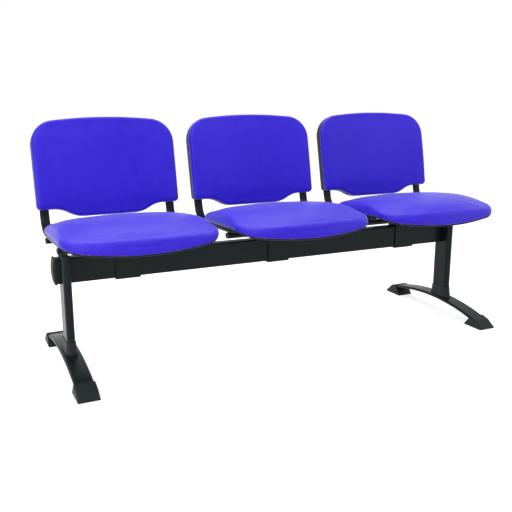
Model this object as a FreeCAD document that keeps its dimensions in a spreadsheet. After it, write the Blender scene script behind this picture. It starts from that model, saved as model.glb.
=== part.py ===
import FreeCAD, Part
import math
import os
import re
import Sketcher

# Beam seating: three upholstered chairs on one steel beam, carried by a column and an arched
# foot at each end. Millimetres. X runs along the beam, Y to the rear, Z up from the floor, and
# the origin is on the floor in the middle of the object's footprint.

Vector = FreeCAD.Vector
doc = FreeCAD.newDocument("beam_seating")

# Driving dimensions, one spreadsheet cell each
DIMENSIONS = [
    ("chair_pitch", 535, "from one chair's centre to the next"),
    ("clear_gap", 0.3, "air between pieces that only lie against each other"),
    ("beam_line", -2.5, "centre of the beam from the origin, front to rear"),
    ("beam_run", 1514, "length of the beam tube"),
    ("beam_tall", 80, "beam section, upright"),
    ("beam_deep", 40, "beam section, front to rear"),
    ("beam_wall", 3, "beam tube wall"),
    ("beam_corner", 4, "rounding of the beam's long edges"),
    ("beam_level", 319.5, "centre of the beam above the floor"),
    ("cap_reach", 10.5, "how far a beam end cap stands out"),
    ("cap_overhang", 2, "how far a beam end cap covers the section all round"),
    ("column_offset", 731, "column centre from the middle of the beam"),
    ("column_thick", 26, "column flat-oval section, across"),
    ("column_deep", 84, "column flat-oval section, front to rear"),
    ("column_centre", -22.5, "column centre from the origin, front to rear"),
    ("column_top", 366, "top of the column tube"),
    ("column_wall", 2, "column tube wall"),
    ("notch_plate", 4, "plate in the column that the beam is bolted to"),
    ("plug_thick", 4.5, "plastic plug on top of the column"),
    ("foot_wide", 59, "foot flat-oval section, across"),
    ("foot_thick", 12, "foot flat-oval section, upright"),
    ("foot_wall", 2, "foot tube wall"),
    ("foot_apex", 58.5, "centre line of the foot at its highest point"),
    ("foot_bend", 960, "radius of the foot's centre line"),
    ("foot_centre", 11.5, "highest point of the foot from the origin, front to rear"),
    ("toe_reach_front", 304, "tip of the front foot cap from the foot's highest point"),
    ("toe_reach_rear", 281, "tip of the rear foot cap from the foot's highest point"),
    ("toe_wide", 65, "width of a foot cap"),
    ("toe_skin", 3, "thickness of a foot cap over the tube"),
    ("toe_long", 90, "length of a foot cap on the floor"),
    ("toe_brow", 60, "length of a foot cap on top of the tube"),
    ("toe_room", 35, "from the end of the tube to the tip of the cap"),
    ("toe_slope", 31, "length of the sloping nose of a foot cap"),
    ("toe_lip", 8, "height of a foot cap's upright edge at the tip"),
    ("toe_edge", 6, "rounding of a foot cap's upper edges"),
    ("toe_nose", 16, "rounding where the nose of a foot cap starts"),
    ("collar_tall", 38, "height of the flared collar at the column's base"),
    ("collar_flare", 7, "how far the collar spreads at its lower edge"),
    ("seat_tilt", 2.5, "rearward slope of the seat, in degrees"),
    ("seat_plane", 422.4, "rail tops above the floor, over the beam"),
    ("seat_front", 287, "front edge of the seat, ahead of the beam"),
    ("seat_rear", 128, "rear edge of the seat, behind the beam"),
    ("seat_half_front", 239, "half the seat's width where the front corners start"),
    ("seat_half_rear", 236, "half the seat's width at its rear line"),
    ("seat_corner_front", 78, "plan radius of the front corners"),
    ("seat_corner_rear", 74, "plan radius of the rear corners"),
    ("seat_front_bend", 750, "plan radius of the seat's front edge"),
    ("fall_start", 170, "where the seat starts to curve down, ahead of the beam"),
    ("fall_bend", 223, "radius of that curve under the cushion"),
    ("tray_wall", 2.5, "wall of the moulded seat shell"),
    ("tray_tall", 4.2, "height of the seat shell's rim"),
    ("tray_round", 3, "rounding of the seat shell's lower edge"),
    ("board_top", 9.7, "upper face of the seat board over the rails"),
    ("pad_low", 10, "underside of the seat cushion over its board"),
    ("pad_skirt", 4.5, "lower edge of the seat cushion round its board"),
    ("pad_crest", 58, "highest point of the seat cushion over the rails"),
    ("crest_line", 95, "where the cushion is highest, ahead of the beam"),
    ("crest_bend_front", 450, "radius of the cushion's top towards the front"),
    ("crest_bend_rear", 1500, "radius of the cushion's top towards the rear"),
    ("crest_bend_across", 2300, "radius of the cushion's top from side to side"),
    ("pad_roll", 22, "rounding of the seat cushion's upper edge"),
    ("pad_tuck", 4, "rounding where the cushion draws in to its board"),
    ("back_lean", 12.1, "rearward lean of the backrest, in degrees"),
    ("back_front", 168.5, "lower corners of the backrest behind the beam"),
    ("back_foot", 481.6, "lower corners of the backrest above the floor"),
    ("back_half", 239, "half the backrest's width"),
    ("back_tall", 300, "lower corners to the top of the backrest"),
    ("back_bend", 1911, "radius of the backrest in plan"),
    ("back_sag", 15, "how far the middle of the backrest lies behind its sides"),
    ("back_corner", 82, "radius of the backrest's upper corners"),
    ("back_top_bend", 1361, "radius of the backrest's top edge"),
    ("back_heel_round", 14, "radius of the backrest's lower corners"),
    ("tongue_drop", 28, "how far the middle of the lower edge hangs down"),
    ("tongue_half", 85, "half the width of the tongue's straight edge"),
    ("tongue_shoulder", 185, "where the lower edge starts to curve down"),
    ("back_pad_edge", 12, "cushion ahead of the backrest's widest line, at its edge"),
    ("back_pad_crown", 7, "further rise of the cushion in the middle"),
    ("back_pad_rear", 6, "cushion behind the backrest's widest line"),
    ("back_roll", 11, "rounding of the back cushion's front edge"),
    ("back_board_thick", 8, "moulded board inside the backrest"),
    ("cover_deep", 36, "rear face of the back shell behind the widest line"),
    ("cover_wall", 3, "wall of the back shell"),
    ("cover_round", 12, "rounding of the back shell's rear edge"),
    ("rail_wide", 30, "rail flat-oval section, across"),
    ("rail_thick", 15, "rail flat-oval section, thickness"),
    ("rail_wall", 2, "rail tube wall"),
    ("rail_offset", 214, "rail centre from the chair's centre"),
    ("rail_bend", 64.5, "radius of the rail's centre line at its bend"),
    ("rail_nose", 125, "front end of a rail, ahead of the beam"),
    ("rail_depth", 27, "rail centre behind the backrest's widest line"),
    ("rail_rise", 190, "top of a rail above the backrest's lower corners"),
    ("bar_offset", 105, "crossbar centres ahead of and behind the beam"),
    ("bar_deep", 30, "crossbar flat-oval section, front to rear"),
    ("bar_thick", 18, "crossbar flat-oval section, upright"),
    ("bar_half", 226, "half the length of a crossbar tube"),
    ("tube_plug", 3, "thickness of the plug heads in the tube ends"),
    ("sleeve_wide", 80, "width of the sleeve round the beam"),
    ("sleeve_wall", 4, "sleeve wall"),
    ("arm_wide", 76, "width of the channel arm on the sleeve"),
    ("arm_wall", 3, "channel arm wall"),
    ("arm_half", 122, "half the length of the channel arm"),
    ("arm_tip", 12, "depth of the channel arm at its ends"),
    ("arm_foot", 35, "half the length over which the arm stands on the sleeve"),
    ("bolt_size", 8, "diameter of the structural bolts"),
    ("screw_size", 5.5, "diameter of the upholstery screws"),
    ("bolt_spread", 22, "bolts each side of the chair's centre"),
    ("hole_play", 0.6, "how much wider a bolt hole is than its bolt"),
    ("seat_screw_front", 60, "front seat screws, ahead of the beam"),
    ("seat_screw_rear", 55, "rear seat screws, behind the beam"),
    ("back_screw_low", 60, "lower back screws above the backrest's lower corners"),
    ("back_screw_high", 160, "upper back screws above the backrest's lower corners"),
    ("leg_bolt_spread", 20, "leg bolts above and below the beam's centre"),
]

dims = doc.addObject("Spreadsheet::Sheet", "dims")
for row, (alias, number, meaning) in enumerate(DIMENSIONS, start=1):
    dims.set("A%d" % row, meaning)
    dims.set("B%d" % row, str(number))
    dims.setAlias("B%d" % row, alias)
doc.recompute()

CHAIRS = (("left", -1), ("middle", 0), ("right", 1))
ENDS = (("left", -1), ("right", 1))
MARGIN = 60
pieces = []


def size(expression):
    """Value of an expression on the sheet's aliases, written without the sheet's name."""
    return float(dims.evalExpression(expression))


def named(expression):
    """The same expression with the sheet's name before each alias, for setExpression."""
    return re.sub(r"[a-z][a-z_]+", lambda word: "dims." + word.group(), expression)


def bind(thing, prop, expression):
    thing.setExpression(prop, named(expression))


def place(piece, x="0", y="beam_line", z="0", tilt=None):
    """Puts a piece at a point given by expressions, leaning back by the angle named tilt."""
    piece.Placement.Rotation = FreeCAD.Rotation(Vector(-1, 0, 0), size(tilt) if tilt else 0)
    for axis, expression in (("x", x), ("y", y), ("z", z)):
        bind(piece, "Placement.Base." + axis, expression)
    if tilt:
        bind(piece, "Placement.Rotation.Angle", tilt)


def new_body(label, keep=True, **where):
    body = doc.addObject("PartDesign::Body", label)
    body.Label = label
    place(body, **where)
    if keep:
        pieces.append(body)
    return body


def sketch_on(body, role, shift=(0, 0, 0), turn=0):
    """A sketch on one of the body's own planes, shifted and turned about its first axis."""
    sketch = body.newObject("Sketcher::SketchObject", "Sketch")
    plane = [f for f in body.Origin.OriginFeatures if f.Role == role][0]
    sketch.AttachmentSupport = (plane, [""])
    sketch.MapMode = "FlatFace"
    rotation = FreeCAD.Rotation(Vector(1, 0, 0), turn)
    sketch.AttachmentOffset = FreeCAD.Placement(Vector(*shift), rotation)
    return sketch


def draw(sketch, start, *steps):
    """An outline. A step is an end point, or a passed point and an end point for an arc."""
    here = Vector(*start)
    for step in steps:
        if isinstance(step[0], tuple):
            via, end = Vector(*step[0]), Vector(*step[1])
            sketch.addGeometry(Part.Arc(here, via, end))
        else:
            end = Vector(*step)
            sketch.addGeometry(Part.LineSegment(here, end))
        here = end


def on_arc(centre, radius, angle):
    """The point at an angle on a circle."""
    return (centre[0] + radius * math.cos(angle), centre[1] + radius * math.sin(angle))


def rectangle(sketch, low_u, high_u, low_v, high_v):
    """A rectangle between four expressions, held by dimensions from the sketch's origin."""
    u0, u1, v0, v1 = (size(e) for e in (low_u, high_u, low_v, high_v))
    first = sketch.GeometryCount
    draw(sketch, (u0, v0), (u1, v0), (u1, v1), (u0, v1), (u0, v0))
    for side in range(4):
        follower = first + (side + 1) % 4
        sketch.addConstraint(Sketcher.Constraint("Coincident", first + side, 2, follower, 1))
        kind = "Horizontal" if side % 2 == 0 else "Vertical"
        sketch.addConstraint(Sketcher.Constraint(kind, first + side))
    for point, axis, number, expression in (
        (first, "DistanceX", u0, low_u),
        (first, "DistanceY", v0, low_v),
        (first + 2, "DistanceX", u1, high_u),
        (first + 2, "DistanceY", v1, high_v),
    ):
        spot = sketch.addConstraint(Sketcher.Constraint(axis, -1, 1, point, 1, number))
        bind(sketch, "Constraints[%d]" % spot, expression)


def circle(sketch, u, v, across):
    """A circle at two expressions with its diameter as a third."""
    ring = Part.Circle(Vector(size(u), size(v)), Vector(0, 0, 1), size(across) / 2)
    index = sketch.addGeometry(ring)
    for kind, expression in (("DistanceX", u), ("DistanceY", v)):
        held = Sketcher.Constraint(kind, -1, 1, index, 3, size(expression))
        spot = sketch.addConstraint(held)
        bind(sketch, "Constraints[%d]" % spot, expression)
    spot = sketch.addConstraint(Sketcher.Constraint("Diameter", index, size(across)))
    bind(sketch, "Constraints[%d]" % spot, across)


def flat_oval(sketch, long, thick, u="0", v="0", upright=False):
    """A flat-oval section: two straight sides joined by half circles, about a centre."""
    half, radius = size("((%s) - (%s)) / 2" % (long, thick)), size("(%s) / 2" % thick)
    centre_u, centre_v = size(u), size(v)

    def at(along, across):
        turned_point = (-across, along) if upright else (along, across)
        return (centre_u + turned_point[0], centre_v + turned_point[1])

    first = sketch.GeometryCount
    draw(
        sketch,
        at(-half, -radius),
        at(half, -radius),
        (at(half + radius, 0), at(half, radius)),
        at(-half, radius),
        (at(-half - radius, 0), at(-half, -radius)),
    )
    for side in range(4):
        follower = first + (side + 1) % 4
        sketch.addConstraint(Sketcher.Constraint("Tangent", first + side, 2, follower, 1))
    for arc, sign in ((first + 1, "+"), (first + 3, "-")):
        spot = sketch.addConstraint(Sketcher.Constraint("Radius", arc, radius))
        bind(sketch, "Constraints[%d]" % spot, "(%s) / 2" % thick)
        spread = "%s ((%s) - (%s)) / 2" % (sign, long, thick)
        along = "(%s) %s" % (v if upright else u, spread)
        across = u if upright else v
        kinds = ("DistanceY", "DistanceX") if upright else ("DistanceX", "DistanceY")
        for kind, expression in zip(kinds, (along, across)):
            held = Sketcher.Constraint(kind, -1, 1, arc, 3, size(expression))
            spot = sketch.addConstraint(held)
            bind(sketch, "Constraints[%d]" % spot, expression)


def pad(body, sketch, length, both_ways=False, reverse=False):
    feature = body.newObject("PartDesign::Pad", "Pad")
    feature.Profile = sketch
    bind(feature, "Length", length)
    feature.SideType = "Symmetric" if both_ways else "One side"
    feature.Reversed = reverse
    return feature


def pocket(body, sketch, length=None, reverse=False):
    """Cuts the sketch through everything both ways, or to a length one way."""
    feature = body.newObject("PartDesign::Pocket", "Pocket")
    feature.Profile = sketch
    if length:
        bind(feature, "Length", length)
        feature.Reversed = reverse
    else:
        feature.Type = "ThroughAll"
        feature.SideType = "Symmetric"
    return feature


def revolve(body, sketch, axis, degrees, both_ways=False, reverse=False):
    feature = body.newObject("PartDesign::Revolution", "Revolution")
    feature.Profile = sketch
    feature.ReferenceAxis = (sketch, [axis])
    feature.Angle = degrees
    feature.Midplane = both_ways
    feature.Reversed = reverse
    return feature


def round_edges(body, radius, chosen):
    """Fillets the edges whose middle point and direction the rule picks."""
    doc.recompute()
    base = body.Tip
    names = []
    for index, edge in enumerate(base.Shape.Edges, start=1):
        middle = (edge.FirstParameter + edge.LastParameter) / 2
        if chosen(edge.valueAt(middle), edge.tangentAt(middle)):
            names.append("Edge%d" % index)
    feature = body.newObject("PartDesign::Fillet", "Fillet")
    feature.Base = (base, names)
    bind(feature, "Radius", radius)
    return feature


def cut(label, base, tool, keep=True):
    """One piece less another, as a piece of its own."""
    feature = doc.addObject("Part::Cut", label)
    feature.Label = label
    feature.Base = base
    feature.Tool = tool
    feature.Refine = True
    if keep:
        pieces.append(feature)
    return feature


def chair_x(side):
    return "chair_pitch * %d" % side


def bolt_hole(name):
    return "%s_size + hole_play" % name


# Seat outline in plan: straight sides that narrow to the rear, joined by large corner arcs
def rounded_corner(before, corner, after, radius):
    """Start, middle and end of the arc of a radius that rounds a corner."""
    into = (before - corner).normalize()
    out = (after - corner).normalize()
    half = into.getAngle(out) / 2
    leg = radius / math.tan(half)
    middle = (into + out).normalize() * (radius / math.sin(half) - radius)
    return [tuple(p) for p in (corner + into * leg, corner + middle, corner + out * leg)]


def seat_outline(sketch, inset="0"):
    inward = size(inset)
    front, rear = size("seat_front"), size("seat_rear")
    wide, narrow = size("seat_half_front"), size("seat_half_rear")
    big, small = (size("seat_corner_" + end) for end in ("front", "rear"))
    bend = size("seat_front_bend")
    start = Vector(wide, -front + big)
    along = (Vector(narrow, rear) - start).normalize()
    outward = Vector(along.y, -along.x)
    hub = Vector(0, bend - front)
    seam = start - outward * big
    ahead = (seam - hub).dot(along)
    aside = math.sqrt((bend - big) ** 2 - (seam - hub).Length ** 2 + ahead**2)
    front_corner = seam - along * (ahead + aside)
    turn = math.atan2(front_corner.y - hub.y, front_corner.x - hub.x)
    side_turn = math.atan2(outward.y, outward.x)
    rear_level = rear - small
    rear_corner = seam + outward * (big - small)
    rear_corner += along * ((rear_level - rear_corner.y) / along.y)

    def spots(centre, radius, first, last):
        angles = (first, (first + last) / 2, last)
        return [on_arc(centre, radius - inward, angle) for angle in angles]

    front_arc = spots(hub, bend, -math.pi / 2, turn)[2]
    corner = spots(front_corner, big, turn, side_turn)
    back_corner = spots(rear_corner, small, side_turn, math.pi / 2)
    right = [corner[1:], back_corner[0], back_corner[1:]]
    left = [
        mirrored(back_corner[2]),
        (mirrored(back_corner[1]), mirrored(back_corner[0])),
        mirrored(corner[2]),
        (mirrored(corner[1]), mirrored(corner[0])),
    ]
    front_middle = (0, -front + inward)
    draw(sketch, front_arc, *[tuple(step) for step in right], *left, (front_middle, front_arc))


def mirrored(point):
    return (-point[0], point[1])


def trim_to_seat(body, inset="0"):
    """Cuts away everything outside the seat's outline."""
    sketch = sketch_on(body, "XY_Plane")
    rectangle(sketch, "-500", "500", "-500", "500")
    seat_outline(sketch, inset)
    return pocket(body, sketch)


def fall_point(level, degrees):
    """A point on the front curve of a layer of the seat, from its level over the rails."""
    radius = size("fall_bend - pad_low") + level
    angle = math.radians(degrees)
    height = size("pad_low - fall_bend") + radius * math.cos(angle)
    return (-size("fall_start") - radius * math.sin(angle), height)


def seat_layer(sketch, low, high):
    """Side view of a layer of the seat: flat, then curving down at the front."""
    rear = size("seat_rear") + MARGIN
    draw(
        sketch,
        (rear, low),
        fall_point(low, 0),
        (fall_point(low, 22), fall_point(low, 44)),
        fall_point(high, 44),
        (fall_point(high, 22), fall_point(high, 0)),
        (rear, high),
        (rear, low),
    )


def under_front(point, level):
    """Whether a point of the seat lies on the layer at that level."""
    if point.y > -size("fall_start"):
        return abs(point.z - level) < 0.05
    out = point.y + size("fall_start")
    up = point.z - size("pad_low - fall_bend")
    return abs(math.hypot(out, up) - size("fall_bend - pad_low") - level) < 0.05


def level(direction):
    """Whether an edge runs along the outline and not up a corner."""
    return abs(direction.z) < 0.9


def seat_cushion(side, label):
    """Crowned foam and cover, wrapped down round the edge of the board."""
    where = dict(x=chair_x(side), z="seat_plane", tilt="seat_tilt")
    body = new_body("cushion_outside_" + label, keep=False, **where)
    half = size("seat_half_front") + MARGIN / 2
    across = size("crest_bend_across")
    drop = across - math.sqrt(across**2 - half**2)
    for bend, degrees, backwards in (
        ("crest_bend_front", 32, False),
        ("crest_bend_rear", 9.5, True),
    ):
        radius = size(bend)
        axis_level = size("pad_crest") - radius
        sketch = sketch_on(body, "XZ_Plane", (0, axis_level, size("crest_line")))
        low = radius - size("pad_crest") - MARGIN
        draw(
            sketch,
            (-half, low),
            (half, low),
            (half, radius - drop),
            ((0, radius), (-half, radius - drop)),
            (-half, low),
        )
        revolve(body, sketch, "H_Axis", degrees, reverse=backwards)
    floor = sketch_on(body, "YZ_Plane")
    low, deep, rear = size("pad_skirt"), -3 * MARGIN, size("seat_rear") + MARGIN
    front_end = fall_point(low, 44)
    draw(
        floor,
        (rear, deep),
        (rear, low),
        fall_point(low, 0),
        (fall_point(low, 22), front_end),
        (front_end[0], deep),
        (rear, deep),
    )
    pocket(body, floor)
    trim_to_seat(body)
    round_edges(
        body,
        "pad_roll",
        lambda p, d: level(d) and not under_front(p, low) and on_seat_edge(p, "0"),
    )
    round_edges(body, "pad_tuck", lambda p, d: under_front(p, low) and on_seat_edge(p, "0"))
    room = new_body("board_room_" + label, keep=False, **where)
    sketch = sketch_on(room, "YZ_Plane")
    seat_layer(sketch, -MARGIN / 3, size("pad_low"))
    pad(room, sketch, "2 * seat_half_front", both_ways=True)
    trim_to_seat(room, BOARD_INSET + " - clear_gap")
    return cut("seat_cushion_" + label, body, room)


def on_seat_edge(point, inset):
    """Whether a point lies on the seat's outline, drawn in by the inset."""
    for edge in outline_edges[inset]:
        if edge.distToShape(Part.Vertex(point.x, point.y, 0))[0] < 0.05:
            return True
    return False


def outline_shape(inset):
    """The seat's outline as edges, used to pick the edges of a solid."""
    body = new_body("outline_guide", keep=False)
    sketch = sketch_on(body, "XY_Plane")
    seat_outline(sketch, inset)
    doc.recompute()
    return sketch.Shape.Edges


SHELL_INSET = "2"
BOARD_INSET = "tray_wall + 3.5"
outline_edges = {inset: outline_shape(inset) for inset in ("0", SHELL_INSET)}


def seat_screw_spots():
    return [
        (sign + " rail_offset", y)
        for sign in ("-", "+")
        for y in ("-seat_screw_front", "seat_screw_rear")
    ]


def screw_holes(body, spots, role="XY_Plane", shift=(0, 0, 0), turn=0):
    sketch = sketch_on(body, role, shift, turn)
    for u, v in spots:
        circle(sketch, u, v, bolt_hole("screw"))
    return pocket(body, sketch)


def seat_board(side, label):
    body = new_body("seat_board_" + label, x=chair_x(side), z="seat_plane", tilt="seat_tilt")
    sketch = sketch_on(body, "YZ_Plane")
    seat_layer(sketch, size("tray_wall + clear_gap"), size("board_top"))
    pad(body, sketch, "2 * seat_half_front", both_ways=True)
    trim_to_seat(body, BOARD_INSET)
    screw_holes(body, seat_screw_spots())
    return body


def seat_shell(side, label):
    where = dict(x=chair_x(side), z="seat_plane", tilt="seat_tilt")
    outer = new_body("tray_outside_" + label, keep=False, **where)
    sketch = sketch_on(outer, "YZ_Plane")
    seat_layer(sketch, 0, size("tray_tall"))
    pad(outer, sketch, "2 * seat_half_front", both_ways=True)
    trim_to_seat(outer, SHELL_INSET)
    round_edges(
        outer, "tray_round", lambda p, d: under_front(p, 0) and on_seat_edge(p, SHELL_INSET)
    )
    screw_holes(outer, seat_screw_spots())
    inner = new_body("tray_inside_" + label, keep=False, **where)
    sketch = sketch_on(inner, "YZ_Plane")
    seat_layer(sketch, size("tray_wall"), MARGIN)
    pad(inner, sketch, "2 * seat_half_front", both_ways=True)
    trim_to_seat(inner, SHELL_INSET + " + tray_wall")
    return cut("seat_shell_" + label, outer, inner)


# Backrest: layers bent round an upright axis in front of the chair, trimmed to one outline
def back_outline(sketch, inset="0"):
    inward = size(inset)
    half, top = size("back_half") - inward, size("back_tall") - inward
    corner, bend = size("back_corner") - inward, size("back_top_bend") - inward
    heel = max(size("back_heel_round") - inward, 1)
    top_centre = top - bend
    corner_x = half - corner
    corner_z = top_centre + math.sqrt((bend - corner) ** 2 - corner_x**2)
    reach = bend / (bend - corner)
    meet = (corner_x * reach, top_centre + (corner_z - top_centre) * reach)
    mid_angle = (math.atan2(meet[1] - corner_z, meet[0] - corner_x)) / 2
    corner_mid = (corner_x + corner * math.cos(mid_angle), corner_z + corner * math.sin(mid_angle))
    shoulder, tongue = size("tongue_shoulder"), size("tongue_half")
    low, drop = inward, size("tongue_drop")
    run = (shoulder - tongue) / 2
    bend_low = (run**2 + (drop / 2) ** 2) / drop
    half_turn = math.asin(run / bend_low) / 2
    sweep = (bend_low * math.sin(half_turn), bend_low * (1 - math.cos(half_turn)))
    right = [
        (tongue, low - drop),
        ((tongue + sweep[0], low - drop + sweep[1]), (tongue + run, low - drop / 2)),
        ((shoulder - sweep[0], low - sweep[1]), (shoulder, low)),
        (half - heel, low),
        ((half - heel * (1 - math.sqrt(0.5)), low + heel * (1 - math.sqrt(0.5))), (half, low + heel)),
        (half, corner_z),
        (corner_mid, meet),
    ]
    left = [
        ((-corner_mid[0], corner_mid[1]), (-half, corner_z)),
        (-half, low + heel),
        ((-half + heel * (1 - math.sqrt(0.5)), low + heel * (1 - math.sqrt(0.5))), (heel - half, low)),
        (-shoulder, low),
        ((sweep[0] - shoulder, low - sweep[1]), (-tongue - run, low - drop / 2)),
        ((-tongue - sweep[0], low - drop + sweep[1]), (-tongue, low - drop)),
    ]
    across_top = [((0, top), (-meet[0], meet[1]))]
    draw(sketch, (-tongue, low - drop), *right, *across_top, *left)


def trim_to_back(body, inset="0"):
    """Cuts away everything outside the backrest's outline."""
    sketch = sketch_on(body, "XZ_Plane")
    rectangle(sketch, "-400", "400", "-200", "500")
    back_outline(sketch, inset)
    return pocket(body, sketch)


def back_body(label, side, keep=True):
    return new_body(
        label, keep, x=chair_x(side), y="beam_line + back_front", z="back_foot", tilt="back_lean"
    )


def bent_layer(body, front, rear, crown=0):
    """A layer of the backrest between two depths, its front face crowned by an arc."""
    radius = size("back_bend")
    sketch = sketch_on(body, "YZ_Plane", (size("back_sag") - radius, 0, 0))
    low, high = -size("tongue_drop") - MARGIN / 2, size("back_tall") + MARGIN / 2
    middle = (size("back_tall") - size("tongue_drop")) / 2
    rise = 0
    if crown:
        half = (size("back_tall") + size("tongue_drop")) / 2
        arc = (half**2 + crown**2) / (2 * crown)
        rise = arc - math.sqrt(arc**2 - (half + MARGIN / 2) ** 2)
    front_edge = radius + front - crown + rise
    draw(
        sketch,
        (radius + rear, low),
        (radius + rear, high),
        (front_edge, high),
        ((radius + front - crown, middle), (front_edge, low)) if crown else (front_edge, low),
        (radius + rear, low),
    )
    return revolve(body, sketch, "V_Axis", 16, both_ways=True)


def back_depth(point):
    """How far a point of the backrest lies behind its widest line."""
    axis = size("back_sag - back_bend")
    return math.hypot(point.x, point.y - axis) - size("back_bend")


def along_back(direction):
    """Whether an edge runs along the backrest's outline and not through its thickness."""
    return abs(direction.y) < 0.9


def back_cushion(side, label):
    body = back_body("back_cushion_" + label, side)
    edge = size("back_pad_edge")
    bent_layer(body, -edge, size("back_pad_rear"), size("back_pad_crown"))
    trim_to_back(body)
    round_edges(body, "back_roll", lambda p, d: along_back(d) and back_depth(p) < -edge / 2)
    round_edges(body, "pad_tuck", lambda p, d: along_back(d) and back_depth(p) > edge / 3)
    return body


def back_screw_spots():
    return [
        (sign + " rail_offset", z) for sign in ("-", "+") for z in ("back_screw_low", "back_screw_high")
    ]


def back_board(side, label):
    body = back_body("back_board_" + label, side)
    front = size("back_pad_rear + clear_gap")
    bent_layer(body, front, front + size("back_board_thick"))
    trim_to_back(body, "cover_wall + 2")
    screw_holes(body, back_screw_spots(), "XZ_Plane")
    return body


def back_shell(side, label):
    front, rear = size("back_pad_rear + clear_gap"), size("cover_deep")
    outer = back_body("cover_outside_" + label, side, keep=False)
    bent_layer(outer, front, rear)
    trim_to_back(outer, "1")
    round_edges(outer, "cover_round", lambda p, d: along_back(d) and back_depth(p) > rear / 2)
    screw_holes(outer, back_screw_spots(), "XZ_Plane")
    inner = back_body("cover_inside_" + label, side, keep=False)
    deep = rear - size("cover_wall")
    bent_layer(inner, front - MARGIN / 4, deep)
    trim_to_back(inner, "1 + cover_wall")
    round_edges(
        inner,
        "cover_round - cover_wall",
        lambda p, d: along_back(d) and back_depth(p) > deep / 2,
    )
    slots = sketch_on(inner, "XY_Plane", (0, 0, -MARGIN / 4))
    for sign in ("-", "+"):
        flat_oval(
            slots, "rail_wide + 1.5", "rail_thick + 1.5", u=sign + " rail_offset", v="rail_depth"
        )
    pad(inner, slots, "25")
    return cut("back_shell_" + label, outer, inner)


# Frame under and behind each chair: two bent rails, two crossbars and their end plugs
def seat_point(y, z):
    """Where a point of the tilted seat frame lies over the floor, as (y, z)."""
    angle = math.radians(size("seat_tilt"))
    return Vector(
        y * math.cos(angle) + z * math.sin(angle),
        size("seat_plane") - y * math.sin(angle) + z * math.cos(angle),
    )


def back_point(y, z):
    """Where a point of the leaning backrest lies over the floor, as (y, z)."""
    angle = math.radians(size("back_lean"))
    return Vector(
        size("back_front") + y * math.cos(angle) + z * math.sin(angle),
        size("back_foot") - y * math.sin(angle) + z * math.cos(angle),
    )


def rail_route():
    """The rail's centre line: front end, start, middle and end of its bend, and top."""
    under = -size("clear_gap + rail_thick / 2")
    nose, heel = seat_point(-size("rail_nose"), under), seat_point(0, under)
    foot, top = (back_point(size("rail_depth"), z) for z in (0, size("rail_rise")))
    forward, upward = (heel - nose).normalize(), (top - foot).normalize()
    apart = foot - nose
    span = forward.x * upward.y - forward.y * upward.x
    reach = (apart.x * upward.y - apart.y * upward.x) / span
    corner = nose + forward * reach
    bend = rounded_corner(nose, corner, top, size("rail_bend"))
    return [tuple(nose)] + bend + [tuple(top)]


def frame_rail(side, label, hand, sign):
    body = new_body(
        "frame_rail_%s_%s" % (label, hand), x="%s %s rail_offset" % (chair_x(side), sign)
    )
    nose, start, middle, end, top = rail_route()
    path = sketch_on(body, "YZ_Plane")
    draw(path, nose, start, (middle, end), top)
    section = sketch_on(body, "XZ_Plane", (0, nose[1], -nose[0]), -size("seat_tilt"))
    flat_oval(section, "rail_wide", "rail_thick")
    flat_oval(section, "rail_wide - 2 * rail_wall", "rail_thick - 2 * rail_wall")
    doc.recompute()
    pipe = body.newObject("PartDesign::AdditivePipe", "Pipe")
    pipe.Profile = section
    pipe.Spine = (path, ["Edge1", "Edge2", "Edge3"])
    doc.recompute()
    tilt = -size("seat_tilt")
    base = seat_point(0, 0)
    under = sketch_on(body, "XY_Plane", (0, 0, base[1]), tilt)
    for y in ("-seat_screw_front", "seat_screw_rear"):
        circle(under, "0", y, bolt_hole("screw"))
    pocket(body, under)
    foot = back_point(0, 0)
    behind = sketch_on(body, "XZ_Plane", (0, foot[1], -foot[0]), -size("back_lean"))
    for z in ("back_screw_low", "back_screw_high"):
        circle(behind, "0", z, bolt_hole("screw"))
    pocket(body, behind)
    return body


def crossbar(side, label, end, sign):
    body = new_body(
        "crossbar_%s_%s" % (label, end), x=chair_x(side), z="seat_plane", tilt="seat_tilt"
    )
    sketch = sketch_on(body, "YZ_Plane")
    centre = dict(u=sign + " bar_offset", v=BAR_LEVEL)
    flat_oval(sketch, "bar_deep", "bar_thick", **centre)
    flat_oval(sketch, "bar_deep - 2 * rail_wall", "bar_thick - 2 * rail_wall", **centre)
    pad(body, sketch, "2 * bar_half", both_ways=True)
    holes = sketch_on(body, "XY_Plane")
    for hand in ("-", "+"):
        circle(holes, hand + " bolt_spread", sign + " bar_offset", bolt_hole("bolt"))
    pocket(body, holes)
    return body


BAR_TOP = "(-rail_thick - 2 * clear_gap)"
BAR_LEVEL = BAR_TOP + " - bar_thick / 2"
ARM_LEVEL = BAR_TOP + " - bar_thick - clear_gap"


def plug(long, thick, **where):
    """A plastic end plug: a flat-oval head and a slightly tapered spigot behind it."""
    body = new_body("plug_form", keep=False)
    head = sketch_on(body, "XY_Plane")
    flat_oval(head, long, thick)
    pad(body, head, "tube_plug")
    round_edges(body, "tube_plug / 3", lambda p, d: p.z > size("tube_plug") - 0.1)
    spigot = sketch_on(body, "XY_Plane")
    slack = " - 2 * rail_wall - 2 * clear_gap"
    flat_oval(spigot, long + slack, thick + slack)
    pad(body, spigot, "4 * tube_plug", reverse=True)
    doc.recompute()
    return body.Shape


def turned(shape, matrix_x, matrix_y, matrix_z, base):
    """A copy of a shape with its axes laid along three directions, moved to a point."""
    copy = shape.copy()
    rotation = FreeCAD.Rotation(Vector(*matrix_x), Vector(*matrix_y), Vector(*matrix_z), "ZXY")
    copy.Placement = FreeCAD.Placement(Vector(*base), rotation)
    return copy


def group(label, shapes):
    """Identical small pieces as one node of separate solids."""
    feature = doc.addObject("Part::Feature", label)
    feature.Label = label
    feature.Shape = Part.makeCompound(shapes)
    pieces.append(feature)
    return feature


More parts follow.
